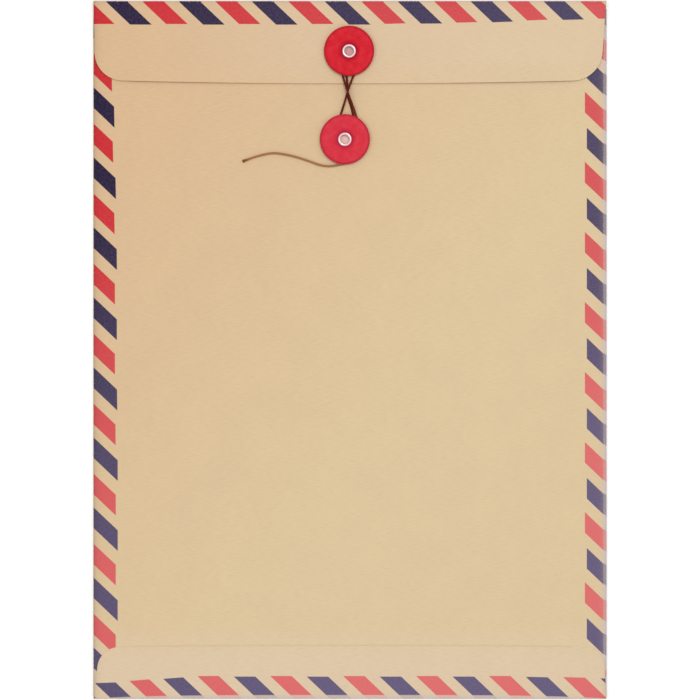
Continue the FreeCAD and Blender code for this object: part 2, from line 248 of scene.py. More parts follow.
# Settings
class EnvelopePaperSettings(bpy.types.PropertyGroup):
    grid: length_property("Grid", "Side of the paper's grid cells", 3.4 * MM)
    puff: length_property("Puff", "How far the back panel stands proud in the middle", 0.35 * MM)
    waves: length_property("Waves", "Height of the paper's gentle waves", 0.12 * MM)
    flap_spring: length_property("Flap spring", "How far the flap's ends spring open", 0.45 * MM)
    kraft: colour_property("Kraft", "The paper's own colour", (222, 199, 160))
    # the paper's colour at the upper left under painted light falloff
    kraft_warm: colour_property("Warm kraft", "The paper where it has aged, upper left", (218, 184, 146))
    kraft_dark: colour_property("Dark fibre", "Colour of the darker fibres", (188, 154, 112))
    kraft_pale: colour_property("Pale fibre", "Colour of the paler fibres", (240, 222, 190))
    inside: colour_property("Inside", "The unprinted side", (212, 184, 146))
    cut_edge: colour_property("Cut edge", "The paper's cut edge", (228, 210, 180))
    # colour of the painted shadow under the flaps' free edges
    rub: colour_property("Rub", "Where the flaps' edges rub", (160, 112, 76))
    # colour of the painted highlight along the side seam
    worn_seam: colour_property("Worn seam", "The strip of the wrap beyond the side seam", (214, 202, 206))
    kraft_cool: colour_property("Cool kraft", "The paper near its ends, less yellow", (224, 203, 182))
    # colour of the painted highlight on the end folds
    worn_fold: colour_property("Worn fold", "Strips of the end folds without ink", (214, 196, 186))
    # painted shade on the paper in the upper bore, painted light on the paper in the lower bore
    upper_mark: colour_property("Upper mark", "The paper in the upper eyelet", (198, 146, 158))
    lower_mark: colour_property("Lower mark", "The paper in the lower eyelet", (240, 208, 200))


class EnvelopePrintSettings(bpy.types.PropertyGroup):
    navy: colour_property("Navy", "Navy ink where it is fresh", (20, 8, 58))
    # the navy ink under painted glare, towards the foot and right
    navy_faded: colour_property("Faded navy", "Navy ink where it has faded", (99, 89, 125))
    red: colour_property("Red", "Red ink where it is fresh", (204, 34, 48))
    # the red ink under painted glare, towards the foot and right
    red_faded: colour_property("Faded red", "Red ink where it has faded", (223, 108, 110))
    soft_edge: length_property("Soft edge", "Width over which the ink's edge bleeds", 0.22 * MM)


class EnvelopeDiscSettings(bpy.types.PropertyGroup):
    upper: colour_property("Upper disc", "Card of the upper disc", (216, 18, 40))
    lower: colour_property("Lower disc", "Card of the lower disc", (220, 44, 62))
    # how strong each disc's painted shade round its eyelet is
    upper_pressing: share_property("Upper pressing", "How dark the upper disc's middle is pressed", 0.5)
    lower_pressing: share_property("Lower pressing", "How dark the lower disc's middle is pressed", 0.33)
    thickness: length_property("Thickness", "Thickness of the card", 0.7 * MM)
    rise: length_property("Rise", "How far the rim stands off the paper", 1.05 * MM)
    segments: count_property("Segments", "Facets round the disc", 144, 24)


class EnvelopeEyeletSettings(bpy.types.PropertyGroup):
    metal: colour_property("Metal", "The eyelets' metal", (240, 206, 210))
    bore: length_property("Bore", "Inner diameter", 4.4 * MM)
    flange: length_property("Flange", "Outer diameter of the visible flange", 6.7 * MM)
    crimp: length_property("Crimp", "Outer diameter of the rolled end", 6.1 * MM)
    metal_thickness: length_property("Metal thickness", "Thickness of the metal", 0.25 * MM)
    bead: length_property("Bead", "Height of the flange", 0.45 * MM)


class EnvelopeStringSettings(bpy.types.PropertyGroup):
    diameter: length_property("Diameter", "The twisted string's diameter", 1.15 * MM)
    pitch: length_property("Pitch", "Length of one full twist", 3.2 * MM)
    plies: count_property("Plies", "Strands twisted together", 3, 2)
    dark: colour_property("Dark", "The string between the discs", (100, 28, 12))
    brown: colour_property("Brown", "The string near the lower disc", (136, 66, 30))
    tail: colour_property("Tail", "The free end", (172, 124, 82))


class EnvelopeStageSettings(bpy.types.PropertyGroup):
    distance: length_property("Camera distance", "From the camera to the table", 1.3)
    picture_height: length_property("Picture height", "Height that the picture takes in", 341.2 * MM)
    picture_drop: length_property("Picture drop", "The picture's centre, below the envelope's", 0.12 * MM)
    key: power_property("Key light", "Power of the key light", 26.5)
    fill: power_property("Fill light", "Power of the fill light", 10.0)
    sky: share_property("Sky", "Strength of the even light from all round", 0.665)


# Helpers for node trees
class NodeMaker:
    """Adds nodes to one tree and links them."""

    def __init__(self, tree):
        self.tree = tree

    def put(self, socket, value):
        if isinstance(value, bpy.types.NodeSocket):
            self.tree.links.new(value, socket)
        else:
            socket.default_value = value

    def add(self, kind, inputs=None, **settings):
        node = self.tree.nodes.new(kind)
        for key, value in settings.items():
            setattr(node, key, value)
        for key, value in (inputs or {}).items():
            self.put(node.inputs[key], value)
        return node

    def math(self, operation, *values, clamp=False):
        node = self.add("ShaderNodeMath", operation=operation, use_clamp=clamp)
        for socket, value in zip(node.inputs, values):
            self.put(socket, value)
        return node.outputs[0]

    def plus(self, first, second, clamp=False):
        return self.math("ADD", first, second, clamp=clamp)

    def minus(self, first, second):
        return self.math("SUBTRACT", first, second)

    def times(self, first, second, clamp=False):
        return self.math("MULTIPLY", first, second, clamp=clamp)

    def divided(self, first, second):
        return self.math("DIVIDE", first, second)

    def vector(self, operation, *values):
        node = self.add("ShaderNodeVectorMath", operation=operation)
        for socket, value in zip(node.inputs, values):
            self.put(socket, value)
        return node.outputs["Value" if operation == "LENGTH" else "Vector"]

    def scaled(self, vector, factor):
        node = self.add("ShaderNodeVectorMath", {"Vector": vector, "Scale": factor}, operation="SCALE")
        return node.outputs[0]

    def blend(self, factor, first, second):
        """Two colours mixed; the node's colour sockets share their names with others."""
        node = self.add("ShaderNodeMix", {"Factor": factor, 6: first, 7: second}, data_type="RGBA")
        return node.outputs[2]

    def spread(self, value, low, high, new_low=0.0, new_high=1.0, smooth=False):
        node = self.add(
            "ShaderNodeMapRange",
            {"Value": value, "From Min": low, "From Max": high, "To Min": new_low, "To Max": new_high},
            interpolation_type="SMOOTHSTEP" if smooth else "LINEAR",
        )
        return node.outputs[0]

    def noise(self, vector, scale, detail=3.0, roughness=0.55):
        node = self.add(
            "ShaderNodeTexNoise",
            {"Vector": vector, "Scale": scale, "Detail": detail, "Roughness": roughness},
        )
        return node.outputs[0]

    def group(self, tree, **inputs):
        node = self.add("ShaderNodeGroup", node_tree=tree)
        for name, value in inputs.items():
            self.put(node.inputs[name], value)
        return node


SOCKETS = {"value": "NodeSocketFloat", "vector": "NodeSocketVector", "colour": "NodeSocketColor"}


def new_group(name, inputs, outputs):
    """An empty shader group with named sockets: its maker, its inputs and its output node."""
    tree = bpy.data.node_groups.new(name, "ShaderNodeTree")
    for label, kind in inputs.items():
        tree.interface.new_socket(label, in_out="INPUT", socket_type=SOCKETS[kind])
    for label, kind in outputs.items():
        tree.interface.new_socket(label, in_out="OUTPUT", socket_type=SOCKETS[kind])
    make = NodeMaker(tree)
    start = make.add("NodeGroupInput")
    end = make.add("NodeGroupOutput")
    return tree, make, start.outputs, end.inputs


def once(build):
    """Builds a shader group the first time that it is asked for."""
    name = build.__name__

    def get():
        return bpy.data.node_groups.get(name) or build(name)

    return get


def rgba(colour):
    return (*colour, 1.0)


def shaded(colour, red, green, blue):
    """A colour with each channel taken down by its own share."""
    return (colour[0] * red, colour[1] * green, colour[2] * blue)


# Shader groups
@once
def slanted_stripes(name):
    """One colour's stripes along one fold line, from blank coordinates."""
    inputs = {
        key: "value"
        for key in ("Along", "Across", "First", "Period", "Length", "Slope", "Band", "Shift", "Softness")
    }
    tree, make, given, out = new_group(name, inputs, {"Mask": "value"})
    drift = make.times(given["Across"], given["Slope"])
    start = make.minus(make.minus(given["Along"], given["First"]), drift)
    half = make.times(given["Length"], 0.5)
    half_period = make.times(given["Period"], 0.5)
    low = make.times(half_period, -1.0)
    offset = make.math("ABSOLUTE", make.math("WRAP", make.minus(start, half), half_period, low))
    inside = make.divided(make.minus(half, offset), given["Softness"])
    stripe = make.plus(inside, 0.5, clamp=True)
    reach = make.math("ABSOLUTE", make.minus(given["Across"], given["Shift"]))
    depth = make.divided(make.minus(given["Band"], reach), given["Softness"])
    band = make.plus(depth, 0.5, clamp=True)
    make.put(out["Mask"], make.times(stripe, band))
    return tree


@once
def kraft_fibres(name):
    """Long fibres, shives and soft clouds of a machine-made kraft sheet."""
    tree, make, given, out = new_group(
        name,
        {"Vector": "vector", "Paper": "colour", "Dark": "colour", "Pale": "colour"},
        {"Color": "colour", "Height": "value", "Roughness": "value"},
    )
    strands = []
    for turn, seed in ((0.25, 0.0), (-0.5, 3.0), (1.35, 7.0), (0.9, 11.0)):
        laid = make.add(
            "ShaderNodeMapping",
            {
                "Vector": given["Vector"],
                "Location": (seed, seed * 0.7, 0),
                "Rotation": (0, 0, turn),
                "Scale": (260.0, 3600.0, 260.0),
            },
        ).outputs[0]
        strands.append(make.noise(laid, 1.0, 2.0, 0.5))
    fibre = make.plus(make.plus(strands[0], strands[1]), make.plus(strands[2], strands[3]))
    dark = make.spread(fibre, 2.0, 1.55)
    pale = make.spread(fibre, 2.05, 2.5)
    shive = make.spread(make.times(strands[0], strands[2]), 0.40, 0.47)
    cloud = make.noise(given["Vector"], 55.0, 4.0, 0.6)
    grain = make.noise(given["Vector"], 5200.0, 2.0, 0.6)
    colour = make.blend(make.times(dark, 0.20), given["Paper"], given["Dark"])
    colour = make.blend(make.times(pale, 0.20), colour, given["Pale"])
    colour = make.blend(make.times(shive, 0.16), colour, given["Dark"])
    tone = make.spread(cloud, 0.3, 0.7, 0.985, 1.015)
    tone = make.times(tone, make.spread(grain, 0.3, 0.7, 0.975, 1.025))
    make.put(out["Color"], make.scaled(colour, tone))
    make.put(out["Height"], make.plus(make.times(fibre, 0.35), make.times(grain, 0.5)))
    make.put(out["Roughness"], make.spread(fibre, 1.5, 2.5, 0.62, 0.74))
    return tree


@once
def scuffs(name):
    """Small worn spots, more of them where the amount is high."""
    tree, make, given, out = new_group(
        name, {"Vector": "vector", "Scale": "value", "Amount": "value"}, {"Mask": "value"}
    )
    fine = make.add(
        "ShaderNodeTexNoise", {"Vector": given["Vector"], "Scale": given["Scale"], "Detail": 4.0}
    )
    limit = make.minus(0.78, make.times(given["Amount"], 0.42))
    over = make.minus(fine.outputs[0], limit)
    make.put(out["Mask"], make.times(over, 12.0, clamp=True))
    return tree


@once
def round_mark(name):
    """A soft round mark: full at the centre, gone at its radius."""
    inputs = {"Vector": "vector", "Centre": "vector", "Radius": "value", "Softness": "value"}
    tree, make, given, out = new_group(name, inputs, {"Mask": "value"})
    away = make.vector("SUBTRACT", given["Vector"], given["Centre"])
    flat = make.vector("MULTIPLY", away, (1.0, 1.0, 0.0))
    near = make.minus(1.0, make.divided(make.vector("LENGTH", flat), given["Radius"]))
    make.put(out["Mask"], make.spread(near, 0.0, given["Softness"], smooth=True))
    return tree


# Materials
def new_material(name):
    material = bpy.data.materials.new(name)
    material.use_nodes = True
    make = NodeMaker(material.node_tree)
    shader = material.node_tree.nodes["Principled BSDF"]
    return material, make, shader


def uv_of(make, name):
    return make.add("ShaderNodeUVMap", uv_map=name).outputs[0]


def attribute_of(make, name):
    return make.add("ShaderNodeAttribute", attribute_name=name).outputs["Fac"]


def bump(make, shader, height, strength, distance):
    node = make.add("ShaderNodeBump", {"Height": height, "Strength": strength, "Distance": distance})
    make.put(shader.inputs["Normal"], node.outputs[0])


def leaning(make, band, along, lean):
    """A band's width, which the print lets drift over some stretches of its fold."""
    width = band
    for start, end, change in lean:
        width = make.plus(width, make.spread(along, start, end, 0.0, change, smooth=True))
    return width


def plate_mask(make, plate, across, along, softness):
    """Where one ink lies on the blank, as one mask from its five bands."""
    past_left, past_right = make.math("LESS_THAN", across, LEFT), make.math("GREATER_THAN", across, RIGHT)
    side = make.math("MAXIMUM", past_left, past_right)
    above = make.math("GREATER_THAN", along, BOTTOM + BOTTOM_BAND + plate["slip_along"])
    below = make.math("LESS_THAN", along, TOP - TOP_BAND + plate["slip_along"])
    beside = make.times(above, make.math("MAXIMUM", side, below))
    face = make.minus(1.0, side)
    end_run = {
        "Period": END_PERIOD,
        "Length": END_LENGTH,
        "Slope": 1 / STRIPE_SLOPE,
        "Shift": plate["slip_along"],
    }
    side_run = {
        "Period": SIDE_PERIOD,
        "Length": SIDE_LENGTH,
        "Slope": STRIPE_SLOPE,
        "Shift": plate["slip_across"],
    }
    bands = (
        (across, along, TOP, plate["top"], TOP_BAND, TOP_LEAN, end_run, face),
        (across, along, BOTTOM, plate["bottom"], BOTTOM_BAND, BOTTOM_LEAN, end_run, face),
        (along, across, LEFT, plate["left"], LEFT_BAND, LEFT_LEAN, side_run, beside),
        (along, across, RIGHT, plate["right"] + SEAM_SLIP, RIGHT_BAND, (), side_run, beside),
        (along, across, FAR_EDGE, plate["right"], RIGHT_BAND, (), side_run, beside),
    )
    total = None
    for run, away, line, first, band, lean, spacing, where in bands:
        stripes = make.group(
            slanted_stripes(),
            Along=run,
            Across=make.minus(away, line),
            First=first,
            Band=leaning(make, band, run, lean),
            Softness=softness,
            **spacing,
        )
        mask = make.times(stripes.outputs[0], where)
        total = mask if total is None else make.math("MAXIMUM", total, mask)
    return total


def kraft_base(make, blank, paper, colour):
    return make.group(
        kraft_fibres(),
        Vector=blank,
        Paper=colour,
        Dark=rgba(paper.kraft_dark),
        Pale=rgba(paper.kraft_pale),
    ).outputs


def aged_kraft(make, body, paper):
    """Painted light falloff: the sheet is darker and warmer towards its upper left. It is also less yellow
    near its ends.
    """
    down = make.spread(body["Y"], TOP, BOTTOM)
    right = make.spread(body["X"], LEFT, RIGHT)
    light_falloff = make.plus(make.times(down, 0.75), make.times(right, 0.75))
    tone = make.blend(make.spread(light_falloff, 0.0, 1.0, smooth=True), rgba(paper.kraft_warm), rgba(paper.kraft))
    upper = make.spread(body["Y"], *COOL_TOP, 0.0, 0.3, smooth=True)
    upper = make.times(upper, make.spread(right, 0.1, 0.45))
    foot = make.spread(body["Y"], *COOL_FOOT, 0.0, 0.45, smooth=True)
    return make.blend(make.plus(upper, foot), tone, rgba(paper.kraft_cool))


def falloff(make, distance, reach):
    """One at the line, dying away over the reach."""
    return make.math("EXPONENT", make.divided(make.math("ABSOLUTE", distance), -reach))


def grime(make, across, along):
    """Painted shade along the sheet's folds, most of all the left one, and beside the back panel's cut
    edge.
    """
    total = None
    for place, line, amount, reach in (
        (across, LEFT, 0.26, 1.7 * MM),
        (across, LEFT, 0.22, 0.4 * MM),
        (across, RIGHT, 0.28, 0.7 * MM),
        (across, FAR_EDGE, 0.08, 3.0 * MM),
        (along, TOP, 0.16, 1.2 * MM),
        (along, BOTTOM, 0.05, 1.2 * MM),
    ):
        dark = make.times(falloff(make, make.minus(place, line), reach), amount)
        total = dark if total is None else make.plus(total, dark)
    return total


def flap_rub(make, body, line, way, shape, reach):
    """The painted shadow that a flap's free edge casts on the back panel."""
    swing = make.math("POWER", make.divided(body["X"], RIGHT), 2.0)
    bow = make.times(swing, way * shape["bow"])
    edge = make.minus(line + way * shape["depth"], bow)
    beyond = make.times(make.minus(body["Y"], edge), way)
    outside = make.math("GREATER_THAN", beyond, -0.5 * MM)
    middle = make.spread(make.math("ABSOLUTE", body["X"]), SHADOW_END, SHADOW_START)
    return make.times(make.times(falloff(make, beyond, reach), outside), middle)


def eyelet_patch(make, centre, amount):
    """Painted light and shade on the round patch of paper that an eyelet's bore shows."""
    place = make.add("ShaderNodeTexCoord").outputs["Object"]
    mark = {"Centre": tuple(centre), "Radius": BORE_TONE_RADIUS, "Softness": BORE_TONE_EDGE}
    return make.times(make.group(round_mark(), Vector=place, **mark).outputs[0], amount)


def worn_strips(make, body, flat):
    """Painted highlight on the end folds, which also pales their ink: a narrow strip above, a bowed one
    below.
    """
    from_top = make.math("ABSOLUTE", make.minus(flat["Y"], TOP))
    above = make.spread(from_top, TOP_STRIP + TOP_STRIP_EDGE, TOP_STRIP - TOP_STRIP_EDGE)
    swing = make.math("POWER", make.divided(body["X"], RIGHT), 4.0)
    line = make.plus(make.times(swing, BOTTOM_STRIP_BOW), BOTTOM - BOTTOM_STRIP)
    below = make.spread(make.minus(flat["Y"], line), -BOTTOM_STRIP_EDGE, BOTTOM_STRIP_EDGE)
    below = make.times(below, make.math("LESS_THAN", flat["Y"], BOTTOM + BOTTOM_FOLD))
    return make.math("MAXIMUM", above, below)


def seam_wear(make, flat):
    """Painted highlight on the strip of the wrap that the back panel leaves bare, and beside the back
    panel's cut edge.
    """
    strip = make.math("GREATER_THAN", flat["X"], RIGHT)
    beside = falloff(make, make.minus(flat["X"], FAR_EDGE + SEAM_STEP), 1.1 * MM)
    return make.plus(make.times(strip, 0.85), make.times(beside, 0.4), clamp=True)


def ink_fade(make, body):
    """Painted glare over the ink: none at the upper left, most at the foot and right."""
    down = make.spread(body["Y"], TOP, BOTTOM)
    right = make.spread(body["X"], LEFT, RIGHT)
    lower = make.times(make.spread(down, 0.2, 0.88, smooth=True), GLARE_DOWN)
    return make.plus(lower, make.times(right, GLARE_ACROSS), clamp=True)


def printed_kraft(paper, ink):
    """The outer face: kraft with the striped border, worn at its folds and cut edges. It also carries
    painted light and shade: glare over the ink, highlights on the end folds and side seam, shade along the
    folds, shadows under the flaps' edges, shade in the upper eyelet's bore and a light falloff.
    """
    material, make, shader = new_material("printed_kraft")
    blank = uv_of(make, "blank")
    place = make.add("ShaderNodeTexCoord").outputs["Object"]
    body = make.add("ShaderNodeSeparateXYZ", {"Vector": place}).outputs
    # painted light falloff, darker and warmer at the upper left
    kraft = kraft_base(make, blank, paper, aged_kraft(make, body, paper))
    wear = attribute_of(make, "wear")
    worn = make.group(scuffs(), Vector=blank, Scale=1500.0, Amount=wear).outputs[0]

    ragged = make.add("ShaderNodeTexNoise", {"Vector": blank, "Scale": 2600.0, "Detail": 2.0}).outputs[1]
    shake = make.scaled(make.vector("SUBTRACT", ragged, (0.5, 0.5, 0.5)), 0.18 * MM)
    flat = make.add("ShaderNodeSeparateXYZ", {"Vector": make.vector("ADD", blank, shake)}).outputs

    # painted highlights on the end folds and along the side seam
    strips = worn_strips(make, body, flat)
    seam = seam_wear(make, flat)
    colour = make.blend(make.times(strips, 0.85), kraft["Color"], rgba(paper.worn_fold))
    colour = make.blend(seam, colour, rgba(paper.worn_seam))

    # painted glare over the ink, strongest at the foot and right
    ink_glare = ink_fade(make, body)
    density = make.spread(make.noise(blank, 900.0, 3.0, 0.6), 0.35, 0.65, 0.95, 1.0)
    # the ink thins with the scuffs and under the painted highlights
    for loss, share in ((worn, 0.6), (strips, 0.8), (seam, 0.5)):
        density = make.times(density, make.minus(1.0, make.times(loss, share)))
    inked = None
    inks = ((RED_PLATE, ink.red, ink.red_faded), (NAVY_PLATE, ink.navy, ink.navy_faded))
    for plate, fresh, glare in inks:
        mask = plate_mask(make, plate, flat["X"], flat["Y"], ink.soft_edge)
        tint = make.blend(ink_glare, rgba(fresh), rgba(glare))
        colour = make.blend(make.times(mask, density), colour, tint)
        inked = mask if inked is None else make.math("MAXIMUM", inked, mask)

    on_back = make.math("LESS_THAN", flat["X"], LEFT)
    # painted shadows under the free edges of the closure flap and the bottom flap
    rub = make.times(flap_rub(make, body, TOP, -1, CLOSURE_FLAP, 0.5 * MM), 0.34)
    foot_shadow = make.times(flap_rub(make, body, BOTTOM, 1, BOTTOM_FLAP, 0.4 * MM), 0.14)
    rub = make.times(make.plus(rub, foot_shadow), on_back)
    colour = make.blend(rub, colour, rgba(paper.rub))
    # painted shade on the paper in the upper eyelet's bore
    bore_tone = make.times(eyelet_patch(make, UPPER_DISC, 0.6), on_back)
    colour = make.blend(bore_tone, colour, rgba(paper.upper_mark))
    colour = make.blend(make.times(worn, 0.25), colour, rgba(paper.cut_edge))
    # painted shade along the folds and beside the back panel's cut edge
    unshaded_share = make.minus(1.0, grime(make, flat["X"], flat["Y"]))
    make.put(shader.inputs["Base Color"], make.scaled(colour, unshaded_share))
    sheen = make.times(inked, -0.08)
    make.put(shader.inputs["Roughness"], make.plus(kraft["Roughness"], sheen))
    shader.inputs["Specular IOR Level"].default_value = 0.12
    bump(make, shader, kraft["Height"], 0.25, 0.05 * MM)
    return material


def plain_kraft(name, paper, colour, mark):
    """Unprinted kraft, with painted light on the patch that the lower eyelet's bore shows."""
    material, make, shader = new_material(name)
    kraft = kraft_base(make, uv_of(make, "blank"), paper, rgba(colour))
    bore_tone = eyelet_patch(make, LOWER_DISC, mark)
    make.put(shader.inputs["Base Color"], make.blend(bore_tone, kraft["Color"], rgba(paper.lower_mark)))
    make.put(shader.inputs["Roughness"], kraft["Roughness"])
    shader.inputs["Specular IOR Level"].default_value = 0.12
    bump(make, shader, kraft["Height"], 0.35, 0.05 * MM)
    return material


def red_card(name, colour, pressing):
    """Dyed card, a little dusty: painted shade in the dimple round the eyelet and beside its flange, and
    darker towards the rim.
    """
    material, make, shader = new_material(name)
    face = uv_of(make, "face")
    radius = make.vector("LENGTH", face)
    dark = shaded(colour, 0.62, 0.45, 0.75)
    flange_shade = shaded(colour, 0.4, 0.3, 1.1)
    dusty = tuple(c + (1 - c) * 0.015 for c in colour)
    cloud = make.noise(face, 260.0, 4.0, 0.6)
    tint = make.blend(make.spread(cloud, 0.35, 0.65), rgba(shaded(colour, 0.9, 0.9, 0.9)), rgba(dusty))
    # painted shade in the dimple round the eyelet, and beside its flange
    shadowed = make.spread(radius, *DIMPLE_SHADE_RING, smooth=True)
    tint = make.blend(make.times(shadowed, pressing * 0.6), tint, rgba(dark))
    ring = make.spread(radius, *FLANGE_SHADE_RING, smooth=True)
    tint = make.blend(make.times(ring, pressing + 0.3), tint, rgba(flange_shade))
    rim = make.spread(radius, *DARK_RIM, smooth=True)
    tint = make.blend(make.times(rim, 0.75), tint, rgba(dark))
    specks = make.group(scuffs(), Vector=face, Scale=2400.0, Amount=0.18).outputs[0]
    tint = make.blend(make.times(specks, 0.25), tint, rgba(dusty))
    make.put(shader.inputs["Base Color"], tint)
    fibre = make.noise(face, 3800.0, 3.0, 0.6)
    make.put(shader.inputs["Roughness"], make.spread(fibre, 0.3, 0.7, 0.42, 0.58))
    shader.inputs["Specular IOR Level"].default_value = 0.1
    bump(make, shader, fibre, 0.2, 0.04 * MM)
    return material


def eyelet_metal(colour):
    """Bright rolled metal, finely pitted, with a few dull spots."""
    material, make, shader = new_material("eyelet_metal")
    place = make.add("ShaderNodeTexCoord").outputs["Object"]
    dull = make.spread(make.noise(place, 900.0, 4.0, 0.6), 0.4, 0.7)
    tarnish = make.blend(make.times(dull, 0.4), rgba(colour), rgba(shaded(colour, 0.8, 0.8, 0.8)))
    make.put(shader.inputs["Base Color"], tarnish)
    shader.inputs["Metallic"].default_value = 0.5
    make.put(shader.inputs["Roughness"], make.spread(dull, 0.0, 1.0, 0.26, 0.42))
    bump(make, shader, make.noise(place, 5000.0, 2.0), 0.08, 0.02 * MM)
    return material


def waxed_string(cord):
    """Waxed twine: dark between the discs, browner on its way out, and pale at the free end."""
    material, make, shader = new_material("waxed_string")
    along = attribute_of(make, "along")
    place = make.add("ShaderNodeTexCoord").outputs["Object"]
    ramp = make.add("ShaderNodeValToRGB", {"Fac": along})
    stops = (
        (0.0, cord.dark),
        (0.62, cord.dark),
        (0.70, cord.brown),
        (0.80, cord.tail),
        (0.985, cord.tail),
        (1.0, cord.brown),
    )
    elements = ramp.color_ramp.elements
    while len(elements) < len(stops):
        elements.new(0.5)
    for element, (position, colour) in zip(elements, stops):
        element.position = position
        element.color = rgba(colour)
    lint = make.noise(place, 4200.0, 3.0, 0.6)
    pale = make.blend(make.spread(lint, 0.45, 0.75, 0.0, 0.08), ramp.outputs[0], rgba(cord.tail))
    make.put(shader.inputs["Base Color"], pale)
    make.put(shader.inputs["Roughness"], make.spread(lint, 0.3, 0.7, 0.5, 0.75))
    shader.inputs["Specular IOR Level"].default_value = 0.15
    bump(make, shader, lint, 0.4, 0.05 * MM)
    return material


# Folded paper
def folded(flat, ends):
    """Where a blank coordinate comes to lie, and how high, between a low and a high fold."""
    place, height = flat.copy(), np.zeros_like(flat)
    for line, radius, way, level in ends:
        past = way * (flat - line)
        beyond = past > radius
        place[beyond], height[beyond] = 2 * line - flat[beyond], level
        bend = np.abs(past) <= radius + ROUNDING
        angle = (radius + past[bend]) / (2 * radius) * math.pi
        place[bend] = line - way * radius + way * radius * np.sin(angle)
        height[bend] = radius - radius * np.cos(angle)
    return place, height


def pillow(x, y, paper):
    """How far the back stands proud of flat: nothing at the folds and round the tie."""
    across = np.clip(1 - (x / RIGHT) ** 2, 0, 1)
    along = np.clip(1 - (y / TOP) ** 2, 0, 1)
    inner = np.clip(np.minimum(across, along) * 6, 0, 1)
    waves = (
        np.sin(x / 0.021 + 0.9) * np.cos(y / 0.027 + 0.4)
        + 0.6 * np.sin((x + 0.7 * y) / 0.017 + 2.1)
        + 0.4 * np.cos((0.5 * x - y) / 0.012)
    )
    from_tie = [(place - middle) / reach for place, middle, reach in zip((x, y), TIE_MIDDLE, TIE_REACH)]
    tie = 1 - np.exp(-(from_tie[0] ** 4) - from_tie[1] ** 4)
    return (paper.puff * (across * along) ** 0.7 + paper.waves * waves * inner) * tie


def flap_lift(x, y, paper):
    """The closure flap bends down to its free edge, less so at its ends."""
    drop = FLAP_BEND_RADIUS + PAPER
    below = np.clip(FLAP_BEND_START - y, 0, None)
    bend = drop - np.sqrt(drop**2 - below**2)
    reach = np.clip((TOP - y) / CLOSURE_FLAP["depth"], 0, 1)
    away = np.clip((np.abs(x - UPPER_DISC.x) - SPRING_START) / SPRING_REACH, 0, 1)
    away = away * away * (3 - 2 * away)
    from_corner = np.clip((RIGHT - np.abs(x)) / CORNER_EASE, 0, 1)
    return -bend + paper.flap_spring * away * from_corner * reach**2


class SheetMesh:
    """Gathers patches of the blank, folded up, for one mesh. u runs across the blank, v along."""

    def __init__(self, paper):
        self.paper = paper
        self.places = []
        self.blank = []
        self.wear = []
        self.faces = []

    def fold(self, u, v, layer):
        x, z_across = folded(u, ((LEFT, LEFT_FOLD, -1, BACK_TOP), (RIGHT, RIGHT_FOLD, 1, 2 * RIGHT_FOLD)))
        y, z_along = folded(v, ((BOTTOM, BOTTOM_FOLD, -1, FOOT_TOP), (TOP, TOP_FOLD, 1, FLAP_TOP)))
        z = z_across + z_along
        if layer == "back":
            z = z + pillow(x, y, self.paper)
        if layer == "foot":
            lying = np.clip((y - BOTTOM - BOTTOM_FOLD) / FOOT_EASE, 0, 1)
            z = z + pillow(x, y, self.paper) * lying
        if layer == "flap":
            lying = np.clip((TOP - TOP_FOLD - y) / FLAP_EASE, 0, 1)
            z = z + (pillow(x, y, self.paper) + flap_lift(x, y, self.paper)) * lying
        return np.stack([x, y, z], axis=-1)

    def points(self, u, v, wear, layer):
        first = len(self.places)
        self.places.extend(self.fold(u, v, layer).tolist())
        self.blank.extend(np.stack([u, v], axis=-1).tolist())
        self.wear.extend(wear.tolist())
        return first

    def patch(self, u, v, wear, layer, hole=None):
        """A grid of blank coordinates, its first index across and its second along."""
        columns, rows = u.shape
        first = self.points(u.ravel(), v.ravel(), wear.ravel(), layer)
        spans = self.hole_spans(u, v, hole) if hole else None
        for i in range(columns - 1):
            for j in range(rows - 1):
                if spans and spans[0] <= i < spans[1] and spans[2] <= j < spans[3]:
                    continue
                a = first + i * rows + j
                self.faces.append((a, a + 1, a + rows + 1, a + rows))
        if hole:
            self.hole_ring(u, v, first, spans, hole, layer)

    def hole_spans(self, u, v, hole):
        """The block of grid cells that the hole's ring takes the place of."""
        block = HOLE_RADIUS + self.paper.grid * 1.2
        across = np.abs(u[:, u.shape[1] // 2] - hole[0]) < block
        along = np.abs(v[u.shape[0] // 2] - hole[1]) < block
        columns, rows = np.flatnonzero(across), np.flatnonzero(along)
        return columns[0], columns[-1], rows[0], rows[-1]

    def hole_ring(self, u, v, first, spans, hole, layer):
        """Joins the grid to the hole's round edge."""
        low_i, high_i, low_j, high_j = spans
        walk = [(i, low_j) for i in range(low_i, high_i)]
        walk += [(high_i, j) for j in range(low_j, high_j)]
        walk += [(i, high_j) for i in range(high_i, low_i, -1)]
        walk += [(low_i, j) for j in range(high_j, low_j, -1)]
        edge_u = np.array([u[i, j] for i, j in walk])
        edge_v = np.array([v[i, j] for i, j in walk])
        angle = np.arctan2(edge_v - hole[1], edge_u - hole[0])
        ring_u = hole[0] + HOLE_RADIUS * np.cos(angle)
        ring_v = hole[1] + HOLE_RADIUS * np.sin(angle)
        outer = [first + i * u.shape[1] + j for i, j in walk]
        for share in (0.5, 1.0):
            mid_u = edge_u + (ring_u - edge_u) * share
            mid_v = edge_v + (ring_v - edge_v) * share
            start = self.points(mid_u, mid_v, np.zeros_like(mid_u), layer)
            inner = [start + n for n in range(len(walk))]
            for n in range(len(walk)):
                m = (n + 1) % len(walk)
                self.faces.append((outer[n], inner[n], inner[m], outer[m]))
            outer = inner


def steps(start, end, size):
    return np.linspace(start, end, max(2, round(abs(end - start) / size) + 1))


def grid_of(columns, rows):
    return np.meshgrid(columns, rows, indexing="ij")


def bend_wear(values, line, radius):
    """Most at the crest of a fold, none where it runs out."""
    return np.clip(1 - np.abs(values - line) / radius, 0, 1) ** 0.5


